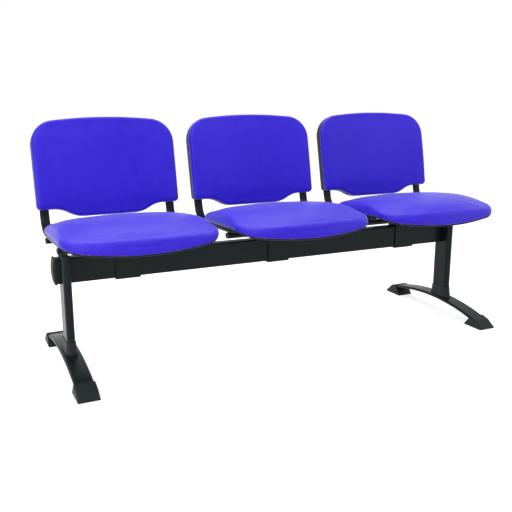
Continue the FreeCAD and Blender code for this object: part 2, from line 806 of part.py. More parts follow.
def seat_frame(side):
    angle = FreeCAD.Rotation(Vector(-1, 0, 0), size("seat_tilt"))
    base = Vector(size(chair_x(side)), size("beam_line"), size("seat_plane"))
    return FreeCAD.Placement(base, angle)


def back_frame(side):
    angle = FreeCAD.Rotation(Vector(-1, 0, 0), size("back_lean"))
    base = Vector(size(chair_x(side)), size("beam_line + back_front"), size("back_foot"))
    return FreeCAD.Placement(base, angle)


def placed(shape, frame):
    copy = shape.copy()
    copy.Placement = frame.multiply(copy.Placement)
    return copy


def tube_plugs(side, label, bar_plug, rail_plug):
    shapes = []
    bar_level, half = size(BAR_LEVEL), size("bar_half")
    for hand in (-1, 1):
        for end in (-1, 1):
            base = (hand * half, end * size("bar_offset"), bar_level)
            shapes.append(turned(bar_plug, (0, 1, 0), (0, 0, hand), (hand, 0, 0), base))
        base = (hand * size("rail_offset"), -size("rail_nose"), -size("clear_gap + rail_thick / 2"))
        shapes.append(turned(rail_plug, (1, 0, 0), (0, 0, 1), (0, -1, 0), base))
    return group("tube_plugs_" + label, [placed(s, seat_frame(side)) for s in shapes])


# Bracket that clamps each chair to the beam
def beam_sleeve(side, label):
    body = new_body("beam_sleeve_" + label, x=chair_x(side), z="beam_level")
    sketch = sketch_on(body, "YZ_Plane")
    deep, tall = "(beam_deep / 2 + clear_gap)", "(beam_tall / 2 + clear_gap)"
    wall = " + sleeve_wall"
    less_wall = " - sleeve_wall"
    rectangle(sketch, "-" + deep + less_wall, deep + wall, "-" + tall + less_wall, tall + wall)
    rectangle(sketch, "-" + deep, deep, "-" + tall, tall)
    pad(body, sketch, "sleeve_wide", both_ways=True)
    outside = size(deep + wall)
    round_edges(
        body, "sleeve_wall", lambda p, d: abs(d.x) > 0.9 and abs(p.y) > outside - 0.1
    )
    holes = sketch_on(body, "XZ_Plane")
    for hand in ("-", "+"):
        circle(holes, hand + " bolt_spread", "0", bolt_hole("bolt"))
    pocket(body, holes, "beam_deep", reverse=False)
    return body


def arm_top(y, down=0):
    """Height of the channel arm's web above the floor at a point along it."""
    angle = math.radians(size("seat_tilt"))
    at_beam = size("seat_plane") + size(ARM_LEVEL) / math.cos(angle)
    return at_beam - y * math.tan(angle) - down


def channel_arm(side, label):
    body = new_body("channel_arm_" + label, x=chair_x(side))
    half, tip, foot = size("arm_half"), size("arm_tip"), size("arm_foot")
    floor = size("beam_level + beam_tall / 2 + sleeve_wall + 2 * clear_gap")
    sketch = sketch_on(body, "YZ_Plane")
    draw(
        sketch,
        (-foot, floor),
        (foot, floor),
        (half, arm_top(half, tip)),
        (half, arm_top(half)),
        (-half, arm_top(-half)),
        (-half, arm_top(-half, tip)),
        (-foot, floor),
    )
    pad(body, sketch, "arm_wide", both_ways=True)
    top = arm_top(0)
    round_edges(
        body,
        "arm_wall",
        lambda p, d: abs(p.x) > size("arm_wide") / 2 - 0.1 and abs(d.y) > 0.9 and p.z > top - 1,
    )
    wall = size("arm_wall")
    inside = sketch_on(body, "YZ_Plane")
    draw(
        inside,
        (-half - 1, floor - MARGIN),
        (half + 1, floor - MARGIN),
        (half + 1, arm_top(half + 1, wall)),
        (-half - 1, arm_top(-half - 1, wall)),
        (-half - 1, floor - MARGIN),
    )
    hollow = pocket(body, inside, "arm_wide - 2 * arm_wall")
    hollow.SideType = "Symmetric"
    holes = sketch_on(body, "XY_Plane", (0, 0, size("seat_plane")), -size("seat_tilt"))
    for hand in ("-", "+"):
        for end in ("-", "+"):
            circle(holes, hand + " bolt_spread", end + " bar_offset", bolt_hole("bolt"))
    pocket(body, holes)
    return body


# Beam, its end caps, and the two legs
def beam():
    body = new_body("beam", z="beam_level")
    sketch = sketch_on(body, "YZ_Plane")
    rectangle(sketch, "-beam_deep / 2", "beam_deep / 2", "-beam_tall / 2", "beam_tall / 2")
    pad(body, sketch, "beam_run", both_ways=True)
    round_edges(body, "beam_corner", lambda p, d: abs(d.x) > 0.9)
    bore = sketch_on(body, "YZ_Plane")
    deep, tall = "(beam_deep / 2 - beam_wall)", "(beam_tall / 2 - beam_wall)"
    rectangle(bore, "-" + deep, deep, "-" + tall, tall)
    pocket(body, bore)
    clamp_holes = sketch_on(body, "XZ_Plane")
    for _, side in CHAIRS:
        for hand in ("-", "+"):
            spot = "%s %s bolt_spread" % (chair_x(side), hand)
            circle(clamp_holes, spot, "0", bolt_hole("bolt"))
    pocket(body, clamp_holes, "beam_deep")
    leg_holes = sketch_on(body, "XZ_Plane")
    for sign in ("-", "+"):
        for up in ("-", "+"):
            circle(leg_holes, sign + " column_offset", up + " leg_bolt_spread", bolt_hole("bolt"))
    pocket(body, leg_holes)
    return body


def beam_end_cap(label, side):
    """A moulded cap with a bulging face, and a spigot in the tube."""
    turn = FreeCAD.Rotation(Vector(0, 0, 1), 0 if side > 0 else 180)
    body = new_body("beam_end_cap_" + label, x="%d * beam_run / 2" % side, z="beam_level")
    body.Placement.Rotation = turn
    tall, reach = size("beam_tall / 2 + cap_overhang"), size("cap_reach")
    sketch = sketch_on(body, "XZ_Plane")
    shoulder = reach / 2
    draw(
        sketch,
        (0, -tall),
        (shoulder, -tall),
        ((reach, 0), (shoulder, tall)),
        (0, tall),
        (0, -tall),
    )
    pad(body, sketch, "beam_deep + 2 * cap_overhang", both_ways=True)
    round_edges(
        body, "cap_reach / 3", lambda p, d: p.x > shoulder / 2 and abs(d.x) < 0.9
    )
    spigot = sketch_on(body, "YZ_Plane")
    deep = "(beam_deep / 2 - beam_wall - clear_gap)"
    high = "(beam_tall / 2 - beam_wall - clear_gap)"
    rectangle(spigot, "-" + deep, deep, "-" + high, high)
    rectangle(spigot, "-" + deep + " + 2.5", deep + " - 2.5", "-" + high + " + 2.5", high + " - 2.5")
    pad(body, spigot, "1.5 * cap_reach", reverse=True)
    return body


def foot_arc(offset, y):
    """Height of the foot's arc, at a distance above its centre line, over a point."""
    radius = size("foot_bend") + offset
    return size("foot_apex - foot_bend") + math.sqrt(radius**2 - y**2)


def leg_column(label, side):
    body = new_body(
        "leg_column_" + label, x="%d * column_offset" % side, y="column_centre"
    )
    sketch = sketch_on(body, "XY_Plane")
    flat_oval(sketch, "column_deep", "column_thick", upright=True)
    pad(body, sketch, "column_top")
    inside = sketch_on(body, "XY_Plane")
    flat_oval(
        inside, "column_deep - 2 * column_wall", "column_thick - 2 * column_wall", upright=True
    )
    pocket(body, inside)
    notch = sketch_on(body, "YZ_Plane")
    front, rear = "beam_line - beam_deep / 2 - clear_gap - column_centre", "column_deep"
    low = "beam_level - beam_tall / 2 - clear_gap"
    high = "beam_level + beam_tall / 2 + clear_gap"
    rectangle(notch, front, rear, low, high)
    pocket(body, notch)
    web = sketch_on(body, "YZ_Plane")
    rectangle(web, front + " - notch_plate", front, low + " - 5", "column_top - 1")
    pad(body, web, "column_thick - column_wall", both_ways=True)
    saddle = sketch_on(body, "YZ_Plane")
    half, centre = size("column_deep / 2") + 10, size("column_centre - foot_centre")
    top = size("foot_thick / 2 + clear_gap")
    draw(
        saddle,
        (-half, foot_arc(top, centre - half)),
        ((0, foot_arc(top, centre)), (half, foot_arc(top, centre + half))),
        (half, -MARGIN),
        (-half, -MARGIN),
        (-half, foot_arc(top, centre - half)),
    )
    pocket(body, saddle)
    holes = sketch_on(body, "XZ_Plane")
    for up in ("-", "+"):
        circle(holes, "0", "beam_level %s leg_bolt_spread" % up, bolt_hole("bolt"))
    pocket(body, holes, "column_deep / 3", reverse=True)
    return body


def column_plug(label, side):
    body = new_body(
        "column_plug_" + label,
        x="%d * column_offset" % side,
        y="column_centre",
        z="column_top + clear_gap",
    )
    head = sketch_on(body, "XY_Plane")
    flat_oval(head, "column_deep", "column_thick", upright=True)
    pad(body, head, "plug_thick")
    round_edges(body, "plug_thick / 2", lambda p, d: p.z > size("plug_thick") - 0.1)
    spigot = sketch_on(body, "XY_Plane")
    inner = "(column_thick / 2 - column_wall - 2 * clear_gap)"
    rectangle(spigot, "-0.8 * " + inner, "0.8 * " + inner, "-column_deep * 0.4", "-column_deep * 0.1")
    pad(body, spigot, "2 * plug_thick", reverse=True)
    return body


def column_collar(label, side):
    """A flared skirt round the column's base, open inside, that sits on the foot's arc."""
    centre = size("column_centre - foot_centre")
    where = dict(x="%d * column_offset" % side, y="column_centre")
    top_level = foot_arc(size("foot_thick") / 2, centre) + size("collar_tall")
    body = new_body("column_collar_" + label, **where)
    outline = []
    skin = "2 * (clear_gap + 1.5)"
    for level_up, spread in (
        (top_level, skin),
        (top_level - size("collar_tall") / 2, skin + " + collar_flare / 2"),
        (top_level - size("collar_tall") * 1.3, skin + " + 2 * collar_flare"),
    ):
        section = sketch_on(body, "XY_Plane", (0, 0, level_up))
        flat_oval(section, "column_deep + " + spread, "column_thick + " + spread, upright=True)
        outline.append(section)
    doc.recompute()
    loft = body.newObject("PartDesign::AdditiveLoft", "Loft")
    loft.Profile = outline[0]
    loft.Sections = outline[1:]
    bore = sketch_on(body, "XY_Plane")
    flat_oval(bore, "column_deep + 2 * clear_gap", "column_thick + 2 * clear_gap", upright=True)
    pocket(body, bore)
    saddle = sketch_on(body, "YZ_Plane")
    half = size("column_deep / 2") + 2 * MARGIN / 3
    lift = size("foot_thick / 2 + clear_gap")
    draw(
        saddle,
        (-half, foot_arc(lift, centre - half)),
        ((0, foot_arc(lift, centre)), (half, foot_arc(lift, centre + half))),
        (half, -MARGIN),
        (-half, -MARGIN),
        (-half, foot_arc(lift, centre - half)),
    )
    pocket(body, saddle)
    return body


def foot_route(sketch, front, rear):
    """The arc that the foot follows, from one distance ahead of its top to one behind it."""
    ends = [(y, foot_arc(0, y)) for y in (-front, rear)]
    draw(sketch, ends[0], ((0, foot_arc(0, 0)), ends[1]))


def foot_section(body, reach, extra, walls=True):
    """The foot's flat-oval section, square to its arc at the front end."""
    slope = math.degrees(math.asin(reach / size("foot_bend")))
    section = sketch_on(body, "XZ_Plane", (0, foot_arc(0, reach), reach), slope)
    flat_oval(section, "foot_wide + " + extra, "foot_thick + " + extra)
    if walls:
        flat_oval(section, "foot_wide - 2 * foot_wall", "foot_thick - 2 * foot_wall")
    return section


def leg_foot(label, side):
    body = new_body(
        "leg_foot_" + label, x="%d * column_offset" % side, y="foot_centre"
    )
    front, rear = (size("toe_reach_%s - toe_room" % end) for end in ("front", "rear"))
    path = sketch_on(body, "YZ_Plane")
    foot_route(path, front, rear)
    section = foot_section(body, front, "0")
    doc.recompute()
    pipe = body.newObject("PartDesign::AdditivePipe", "Pipe")
    pipe.Profile = section
    pipe.Spine = (path, ["Edge1"])
    return body


def foot_cap(label, side, end_name, end):
    """A moulded toe over the end of the foot, flat on the floor, with a socket for the tube."""
    body = new_body(
        "foot_cap_%s_%s" % (label, end_name),
        x="%d * column_offset" % side,
        y="foot_centre",
    )
    body.Placement.Rotation = FreeCAD.Rotation(Vector(0, 0, 1), 0 if end < 0 else 180)
    tip = size("toe_reach_" + end_name)
    heel, brow, crest = (tip - size("toe_" + word) for word in ("long", "brow", "slope"))
    skin = size("foot_thick / 2 + toe_skin")
    shape = sketch_on(body, "YZ_Plane")
    middle = (crest + brow) / 2
    draw(
        shape,
        (-heel, 0),
        (-tip + 2, 0),
        (-tip, 2),
        (-tip, size("toe_lip")),
        (-crest, foot_arc(skin, crest)),
        ((-middle, foot_arc(skin, middle)), (-brow, foot_arc(skin, brow))),
        (-heel, 0),
    )
    pad(body, shape, "toe_wide", both_ways=True)
    round_edges(
        body,
        "toe_nose",
        lambda p, d: abs(d.x) > 0.9 and abs(p.y + crest) < 1 and p.z > size("toe_lip") + 5,
    )
    round_edges(
        body,
        "toe_edge",
        lambda p, d: abs(p.x) > size("toe_wide") / 2 - 0.1 and p.z > 9 and p.y < -brow - 3,
    )
    reach = tip - size("toe_room") + 0.5
    path = sketch_on(body, "YZ_Plane")
    foot_route(path, reach, reach)
    section = foot_section(body, reach, "2 * clear_gap", walls=False)
    doc.recompute()
    pipe = body.newObject("PartDesign::SubtractivePipe", "Socket")
    pipe.Profile = section
    pipe.Spine = (path, ["Edge1"])
    return body


# Fasteners: a hexagon bolt, a round-headed bolt with its nut, and a pan-head screw
def hex_bolt(across, head, length):
    prism = doc.addObject("Part::Prism", "bolt_head")
    prism.Polygon = 6
    prism.Circumradius = across
    prism.Height = head
    shaft = doc.addObject("Part::Cylinder", "bolt_shaft")
    bind(shaft, "Radius", "bolt_size / 2")
    shaft.Height = length
    shaft.Placement.Base.z = -length
    whole = doc.addObject("Part::Fuse", "hex_bolt")
    whole.Base, whole.Tool = prism, shaft
    doc.recompute()
    return whole.Shape


def dome_screw(radius, head_radius, head, length):
    """A screw turned from one profile: a domed head on a plain shaft with a blunt point."""
    body = new_body("screw_form", keep=False)
    sketch = sketch_on(body, "XZ_Plane")
    draw(
        sketch,
        (0, head),
        ((head_radius * 0.62, head * 0.72), (head_radius, 0)),
        (radius, 0),
        (radius, -length + radius),
        (radius / 3, -length),
        (0, -length),
        (0, head),
    )
    revolve(body, sketch, "V_Axis", 360)
    doc.recompute()
    return body.Shape


def upholstery_screws(seat_screw, back_screw):
    seats, backs = [], []
    rail_under = -size("rail_thick + clear_gap")
    for _, side in CHAIRS:
        for u, y in seat_screw_spots():
            base = (size(u), size(y), rail_under)
            down = turned(seat_screw, (1, 0, 0), (0, -1, 0), (0, 0, -1), base)
            seats.append(placed(down, seat_frame(side)))
        for u, z in back_screw_spots():
            depth = cover_face(size(u))
            out = turned(back_screw, (1, 0, 0), (0, 0, -1), (0, 1, 0), (size(u), depth, size(z)))
            backs.append(placed(out, back_frame(side)))
    group("seat_screws", seats)
    group("back_screws", backs)


def cover_face(x):
    """Depth of the back shell's rear face at a distance from the chair's centre."""
    radius = size("back_bend + cover_deep")
    return size("back_sag - back_bend") + math.sqrt(radius**2 - x**2) + 3 * size("clear_gap")


def crossbar_bolts(bolt, nut):
    shapes = []
    for _, side in CHAIRS:
        for x in (-1, 1):
            for y in (-1, 1):
                spot = (x * size("bolt_spread"), y * size("bar_offset"))
                head = turned(bolt, (1, 0, 0), (0, 1, 0), (0, 0, 1), spot + (size(BAR_TOP),))
                low = size(ARM_LEVEL + " - arm_wall - clear_gap")
                ring = turned(nut, (1, 0, 0), (0, -1, 0), (0, 0, -1), spot + (low,))
                shapes.append(placed(head.fuse(ring), seat_frame(side)))
    group("crossbar_bolts", shapes)


def beam_bolts(clamp, long_bolt):
    clamps, legs = [], []
    rear = size("beam_line + beam_deep / 2 + 2 * clear_gap + sleeve_wall")
    behind = size("beam_line + beam_deep / 2 + clear_gap")
    centre = size("beam_level")
    for _, side in CHAIRS:
        for x in (-1, 1):
            base = (size(chair_x(side)) + x * size("bolt_spread"), rear, centre)
            clamps.append(turned(clamp, (1, 0, 0), (0, 0, -1), (0, 1, 0), base))
    for _, side in ENDS:
        for up in (-1, 1):
            level_up = centre + up * size("leg_bolt_spread")
            base = (side * size("column_offset"), behind, level_up)
            legs.append(turned(long_bolt, (1, 0, 0), (0, 0, -1), (0, 1, 0), base))
    group("clamp_bolts", clamps)
    group("leg_bolts", legs)


def chair(label, side):
    seat_cushion(side, label)
    seat_board(side, label)
    seat_shell(side, label)
    back_cushion(side, label)
    back_board(side, label)
    back_shell(side, label)
    for hand, sign in (("left", "-"), ("right", "+")):
        frame_rail(side, label, hand, sign)
    for end, sign in (("front", "-"), ("rear", "+")):
        crossbar(side, label, end, sign)
    beam_sleeve(side, label)
    channel_arm(side, label)


def leg(label, side):
    beam_end_cap(label, side)
    leg_column(label, side)
    column_plug(label, side)
    column_collar(label, side)
    leg_foot(label, side)
    for end_name, end in (("front", -1), ("rear", 1)):
        foot_cap(label, side, end_name, end)


beam()
for name, hand_side in CHAIRS:
    chair(name, hand_side)
for name, hand_side in ENDS:
    leg(name, hand_side)
bar_end = plug("bar_deep", "bar_thick")
rail_end = plug("rail_wide", "rail_thick")
for name, hand_side in CHAIRS:
    tube_plugs(hand_side, name, bar_end, rail_end)
thin, rail_deep = size("screw_size") / 2, size("rail_thick")
upholstery_screws(
    dome_screw(thin, 5.5, 3, rail_deep + 9), dome_screw(thin, 5.5, 3, rail_deep + 14)
)
shank = size("bar_thick + arm_wall") + 9
nut_form = hex_bolt(7.5, 6.5, 1)
crossbar_bolts(dome_screw(size("bolt_size") / 2, 8.5, 4, shank), nut_form)
beam_bolts(hex_bolt(7.5, 5.5, 10), hex_bolt(7.5, 5.5, 52))
doc.recompute()

# Every object has to be sound before anything is written
unsound = [
    "%s in %s" % (thing.Name, ", ".join(user.Label for user in thing.InList))
    for thing in doc.Objects
    if "Invalid" in thing.State or "Error" in thing.State
]
if unsound:
    raise RuntimeError("not sound: " + "; ".join(unsound))
os.makedirs("parts", exist_ok=True)
for piece in pieces:
    shape = piece.Shape
    if shape.isNull() or not shape.isValid() or not shape.Solids:
        raise RuntimeError("%s has no sound solid" % piece.Label)
for piece in pieces:
    piece.Shape.exportStep("parts/%s.step" % piece.Label)
    box = piece.Shape.BoundBox
    print(
        "%-26s solids %2d volume %10.0f  x %7.1f %7.1f  y %7.1f %7.1f  z %6.1f %6.1f"
        % (
            piece.Label, len(piece.Shape.Solids), piece.Shape.Volume,
            box.XMin, box.XMax, box.YMin, box.YMax, box.ZMin, box.ZMax,
        )
    )
print("%d sub-parts" % len(pieces))
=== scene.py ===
import math

import bmesh
import bpy
import numpy as np
from mathutils import Matrix, Vector
from mathutils.bvhtree import BVHTree


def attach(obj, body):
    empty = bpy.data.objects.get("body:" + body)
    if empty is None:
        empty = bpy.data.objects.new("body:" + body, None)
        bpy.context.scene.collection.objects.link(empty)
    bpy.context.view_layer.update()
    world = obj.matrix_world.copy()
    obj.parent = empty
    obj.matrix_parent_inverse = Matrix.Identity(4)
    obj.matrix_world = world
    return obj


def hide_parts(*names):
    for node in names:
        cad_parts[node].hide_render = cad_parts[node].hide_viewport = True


# Beam seating: three upholstered chairs on one steel beam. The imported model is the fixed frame;
# this script upholsters the cushions, trims and finishes every piece, and lights it.

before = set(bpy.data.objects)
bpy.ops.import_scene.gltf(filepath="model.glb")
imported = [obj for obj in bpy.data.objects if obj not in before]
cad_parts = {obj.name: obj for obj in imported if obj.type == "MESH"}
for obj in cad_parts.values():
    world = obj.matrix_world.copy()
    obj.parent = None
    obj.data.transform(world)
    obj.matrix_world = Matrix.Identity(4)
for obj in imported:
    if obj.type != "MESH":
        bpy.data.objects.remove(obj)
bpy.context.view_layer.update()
bpy.context.scene.frame_set(1)

# The chairs, from the left end of the beam to the right, by where their middles lie along it
CHAIR_PITCH = 0.535
CHAIRS = {"left": -CHAIR_PITCH, "middle": 0.0, "right": CHAIR_PITCH}
BEAM_LINE = -0.0025
SEAT_PLANE = 0.4224
SEAT_TILT = math.radians(2.5)
BACK_FRONT = 0.1660
BACK_FOOT = 0.4816
BACK_LEAN = math.radians(12.1)
# The seat falls at its front on a bend that starts this far ahead of the beam
FALL_START = 0.170
FALL_BEND = 0.223
# The seat cushion lies on its board at PAD_LOW and hangs round it down to PAD_SKIRT
PAD_LOW = 0.010
PAD_SKIRT = 0.0045
# The backrest is bent in plan, with its middle this far behind its sides
BACK_BEND = 1.911
BACK_SAG = 0.015


def leaning(y, z, angle):
    """The frame of a surface of the middle chair that leans back by angle."""
    return Matrix.Translation((0, y, z)) @ Matrix.Rotation(-angle, 4, "X")


seat_frame = leaning(BEAM_LINE, SEAT_PLANE, SEAT_TILT)
back_frame = leaning(BACK_FRONT, BACK_FOOT, BACK_LEAN)


# Shader maths written as Python expressions
class Wire:
    """One output of a shader node, with arithmetic on it."""

    def __init__(self, finish, socket):
        self.finish = finish
        self.socket = socket

    def _math(self, operation, *terms):
        return self.finish.node(
            "ShaderNodeMath", {"operation": operation}, dict(enumerate(terms))
        )

    def __add__(self, other):
        return self._math("ADD", self, other)

    def __radd__(self, other):
        return self._math("ADD", other, self)

    def __sub__(self, other):
        return self._math("SUBTRACT", self, other)

    def __rsub__(self, other):
        return self._math("SUBTRACT", other, self)

    def __mul__(self, other):
        return self._math("MULTIPLY", self, other)

    def __rmul__(self, other):
        return self._math("MULTIPLY", other, self)

    def sockets(self):
        """All outputs of the same node, by name."""
        return {out.name: Wire(self.finish, out) for out in self.socket.node.outputs}

    def wave(self):
        return self._math("SINE", self)

    def most(self, other):
        return self._math("MAXIMUM", self, other)

    def ramp(self, low, high):
        """0 below low, 1 above high, smooth between."""
        settings = {"interpolation_type": "SMOOTHSTEP"}
        return self.finish.node(
            "ShaderNodeMapRange", settings, {"Value": self, "From Min": low, "From Max": high}
        )


class Finish:
    """A material under construction."""

    def __init__(self, name, shelf=bpy.data.materials):
        self.material = shelf.new(name)
        self.material.use_nodes = True
        self.tree = self.material.node_tree
        self.tree.nodes.clear()

    def node(self, kind, settings=None, sockets=None, output=0):
        made = self.tree.nodes.new(kind)
        for name, value in (settings or {}).items():
            setattr(made, name, value)
        for key, value in (sockets or {}).items():
            socket = made.inputs[key]
            if isinstance(value, Wire):
                self.tree.links.new(value.socket, socket)
            else:
                socket.default_value = value
        return Wire(self, made.outputs[output] if len(made.outputs) else None)

    def place(self):
        return self.node("ShaderNodeTexCoord", output="Object")

    def cloth(self):
        return self.node(
            "ShaderNodeAttribute",
            {"attribute_type": "GEOMETRY", "attribute_name": "cloth"},
            output="Vector",
        )

    def parts(self, vector):
        return list(self.node("ShaderNodeSeparateXYZ", sockets={0: vector}).sockets().values())

    def stretched(self, vector, by):
        return self.node(
            "ShaderNodeVectorMath", {"operation": "MULTIPLY"}, {0: vector, 1: by}
        )

    def noise(self, vector, scale, detail=2.0, roughness=0.5):
        return self.node(
            "ShaderNodeTexNoise",
            {"noise_dimensions": "3D"},
            {"Vector": vector, "Scale": scale, "Detail": detail, "Roughness": roughness},
        )

    def cells(self, vector, scale):
        return self.node(
            "ShaderNodeTexVoronoi", {"feature": "F1"}, {"Vector": vector, "Scale": scale}
        )

    def blend(self, share, low, high):
        """One colour turning into another as share goes from 0 to 1."""
        return self.node(
            "ShaderNodeMix", {"data_type": "RGBA"}, {0: share, 6: low, 7: high}, output=2
        )

    def bump(self, height, depth, strength=1.0, under=None):
        sockets = {"Height": height, "Distance": depth, "Strength": strength}
        if under is not None:
            sockets["Normal"] = under
        return self.node("ShaderNodeBump", sockets=sockets)

    def rounded(self, radius):
        return self.node("ShaderNodeBevel", {"samples": 4}, {"Radius": radius})

    def edge_wear(self, radius):
        """1 where the surface turns sharply within the radius, 0 on flats."""
        bent = self.node("ShaderNodeBevel", {"samples": 4}, {"Radius": radius})
        flat = self.node("ShaderNodeNewGeometry", output="Normal")
        alike = self.node(
            "ShaderNodeVectorMath", {"operation": "DOT_PRODUCT"}, {0: bent, 1: flat}, output="Value"
        )
        return (1 - alike).ramp(0.01, 0.12)

    def surface(self, sockets):
        shader = self.node("ShaderNodeBsdfPrincipled", sockets=sockets)
        return self.close(shader)

    def close(self, shader):
        self.node("ShaderNodeOutputMaterial", sockets={"Surface": shader})
        return self.material


def colour(red, green, blue):
    return (red, green, blue, 1.0)


# Finishes
THREAD_PITCH = 0.0016
PLY_PITCH = 0.0028


def upholstery_finish():
    """Smooth woven cover: a fine weave with slubs, soft mottling and a pale sheen."""
    f = Finish("violet_upholstery")
    cloth = f.cloth()
    across, along = f.parts(cloth)[:2]
    pitch = 2 * math.pi / THREAD_PITCH
    weave = (across * pitch).wave() * (along * pitch).wave()
    slub = f.noise(f.stretched(cloth, (1.0, 6.0, 1.0)), 220, 1.0)
    slub = slub + f.noise(f.stretched(cloth, (6.0, 1.0, 1.0)), 220, 1.0)
    mottle = f.noise(cloth, 26, 3.0, 0.6)
    drift = f.noise(f.place(), 3.2, 1.0)
    shade = mottle * 0.45 + slub * 0.25 + drift * 0.5
    base = f.blend(
        shade.ramp(0.35, 1.0), colour(0.026, 0.009, 0.55), colour(0.046, 0.023, 0.66)
    )
    soft = f.bump(mottle, 0.0005, 0.4)
    return f.surface(
        {
            "Base Color": base,
            "Roughness": 0.36 + mottle * 0.12,
            "Normal": f.bump(weave * 0.5 + slub * 0.35, 0.00010, 0.6, soft),
            "Sheen Weight": 0.42,
            "Sheen Roughness": 0.32,
            "Sheen Tint": colour(0.80, 0.78, 1.0),
            "Specular IOR Level": 0.20,
        }
    )


def shell_finish():
    f = Finish("near_black_moulding")
    spot = f.place()
    grain = f.cells(spot, 900)
    cloud = f.noise(spot, 30, 3.0)
    wear = f.edge_wear(0.0015)
    base = f.blend(
        cloud * 0.6 + wear * 0.5, colour(0.004, 0.005, 0.005), colour(0.014, 0.016, 0.016)
    )
    return f.surface(
        {
            "Base Color": base,
            "Roughness": 0.46 + cloud * 0.12,
            "Normal": f.bump(grain, 0.00010, 0.5, f.rounded(0.0012)),
            "Specular IOR Level": 0.25,
        }
    )


def paint_finish():
    f = Finish("charcoal_powder_coat")
    spot = f.place()
    peel = f.noise(spot, 420, 2.0)
    cloud = f.noise(spot, 11, 3.0, 0.6)
    wear = f.edge_wear(0.002)
    scuff = f.noise(spot, 60, 4.0, 0.7).ramp(0.55, 0.75)
    base = f.blend(
        cloud * 0.5 + wear * scuff * 0.8,
        colour(0.005, 0.010, 0.011),
        colour(0.013, 0.022, 0.024),
    )
    return f.surface(
        {
            "Base Color": base,
            "Roughness": 0.26 + cloud * 0.10 - wear * scuff * 0.06,
            "Normal": f.bump(peel, 0.00012, 0.6, f.rounded(0.0015)),
            "Specular IOR Level": 0.13,
        }
    )


def plug_finish():
    f = Finish("charcoal_plug_moulding")
    spot = f.place()
    grain = f.noise(spot, 1300, 1.0)
    cloud = f.noise(spot, 24, 2.0)
    base = f.blend(cloud, colour(0.005, 0.009, 0.009), colour(0.014, 0.020, 0.020))
    return f.surface(
        {
            "Base Color": base,
            "Roughness": 0.50 + cloud * 0.10,
            "Normal": f.bump(grain, 0.00010, 0.5, f.rounded(0.0010)),
            "Specular IOR Level": 0.25,
        }
    )


def board_finish():
    f = Finish("beech_plywood")
    spot = f.place()
    up = f.parts(spot)[2]
    plies = (up * (2 * math.pi / PLY_PITCH)).wave().ramp(-0.4, 0.4)
    grain = f.noise(f.stretched(spot, (3.0, 60.0, 60.0)), 6, 3.0, 0.6)
    base = f.blend(
        grain * 0.6 + plies * 0.4, colour(0.36, 0.24, 0.13), colour(0.58, 0.44, 0.28)
    )
    return f.surface(
        {
            "Base Color": base,
            "Roughness": 0.55 + grain * 0.15,
            "Normal": f.bump(grain, 0.0002, 0.4),
        }
    )


def zinc_finish():
    f = Finish("zinc_plate")
    spot = f.place()
    spangle = f.cells(spot, 500)
    scratch = f.noise(f.stretched(spot, (1.0, 8.0, 1.0)), 300, 2.0)
    base = f.blend(
        spangle * 0.5 + scratch * 0.4, colour(0.26, 0.27, 0.28), colour(0.46, 0.47, 0.47)
    )
    return f.surface(
        {
            "Base Color": base,
            "Metallic": 1.0,
            "Roughness": 0.32 + scratch * 0.16,
            "Normal": f.bump(scratch, 0.00004, 0.5, f.rounded(0.0006)),
        }
    )


# The pale grey of this finish is a painted highlight on the rim of each seat shell, not a colour
# the shell has
def rim_highlight_finish():
    f = Finish("painted_rim_highlight")
    spot = f.place()
    cloud = f.noise(spot, 40, 2.0)
    base = f.blend(cloud, colour(0.30, 0.31, 0.27), colour(0.42, 0.43, 0.38))
    return f.surface(
        {
            "Base Color": base,
            "Roughness": 0.42 + cloud * 0.12,
            "Normal": f.bump(cloud, 0.00008, 0.3),
        }
    )


FINISHES = {
    "upholstery": upholstery_finish(),
    "shell_plastic": shell_finish(),
    "painted_steel": paint_finish(),
    "plug_plastic": plug_finish(),
    "board": board_finish(),
    "fastener_steel": zinc_finish(),
}
# Finish of the strip that carries the painted highlight on each seat shell's rim
rim_highlight_paint = rim_highlight_finish()


def dress(thing, finish):
    thing.data.materials.clear()
    thing.data.materials.append(finish)


# Upholstery: each cushion is copied from its solid, closed as one skin and blown up a little
WELD = 0.00002
SKIN_CELL = 0.005
COVER_PRESSURE = 4.0
COVER_STEPS = 20
EVENING_ROUNDS = 30
SEAT_CREST = 0.058
BACK_CREST = -0.012
# Heights over the skirt, and depths ahead of the back board, between which a cover comes free
SEAT_FREE = (0.008, 0.026)
BACK_FREE = (-0.002, 0.012)


def own_copy(node, name):
    """A copy of a node's mesh as an object of its own, its loose triangles joined up."""
    mesh = bpy.data.meshes.new(name)
    bm = bmesh.new()
    bm.from_mesh(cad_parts[node].data)
    bmesh.ops.remove_doubles(bm, verts=bm.verts, dist=WELD)
    bm.to_mesh(mesh)
    bm.free()
    made = bpy.data.objects.new(name, mesh)
    bpy.context.scene.collection.objects.link(made)
    return made


def baked(thing):
    """Puts what the modifiers of a piece show into its mesh, and removes them."""
    bpy.context.view_layer.update()
    shown = thing.evaluated_get(bpy.context.evaluated_depsgraph_get())
    mesh = bpy.data.meshes.new_from_object(shown)
    old = thing.data
    thing.modifiers.clear()
    thing.data = mesh
    bpy.data.meshes.remove(old)
    return thing


def skinned(thing, cell):
    remesh = thing.modifiers.new("skin", "REMESH")
    remesh.mode = "VOXEL"
    remesh.voxel_size = cell
    remesh.use_smooth_shade = True
    return baked(thing)


def points(thing):
    spots = np.empty(len(thing.data.vertices) * 3, np.float64)
    thing.data.vertices.foreach_get("co", spots)
    return spots.reshape(-1, 3)


def normals(thing):
    ways = np.empty(len(thing.data.vertices) * 3, np.float64)
    thing.data.vertices.foreach_get("normal", ways)
    return ways.reshape(-1, 3)


def set_points(thing, spots):
    thing.data.vertices.foreach_set("co", spots.astype(np.float32).ravel())
    thing.data.update()


def in_frame(spots, lying):
    back = np.array(lying.inverted())
    return spots @ back[:3, :3].T + back[:3, 3]


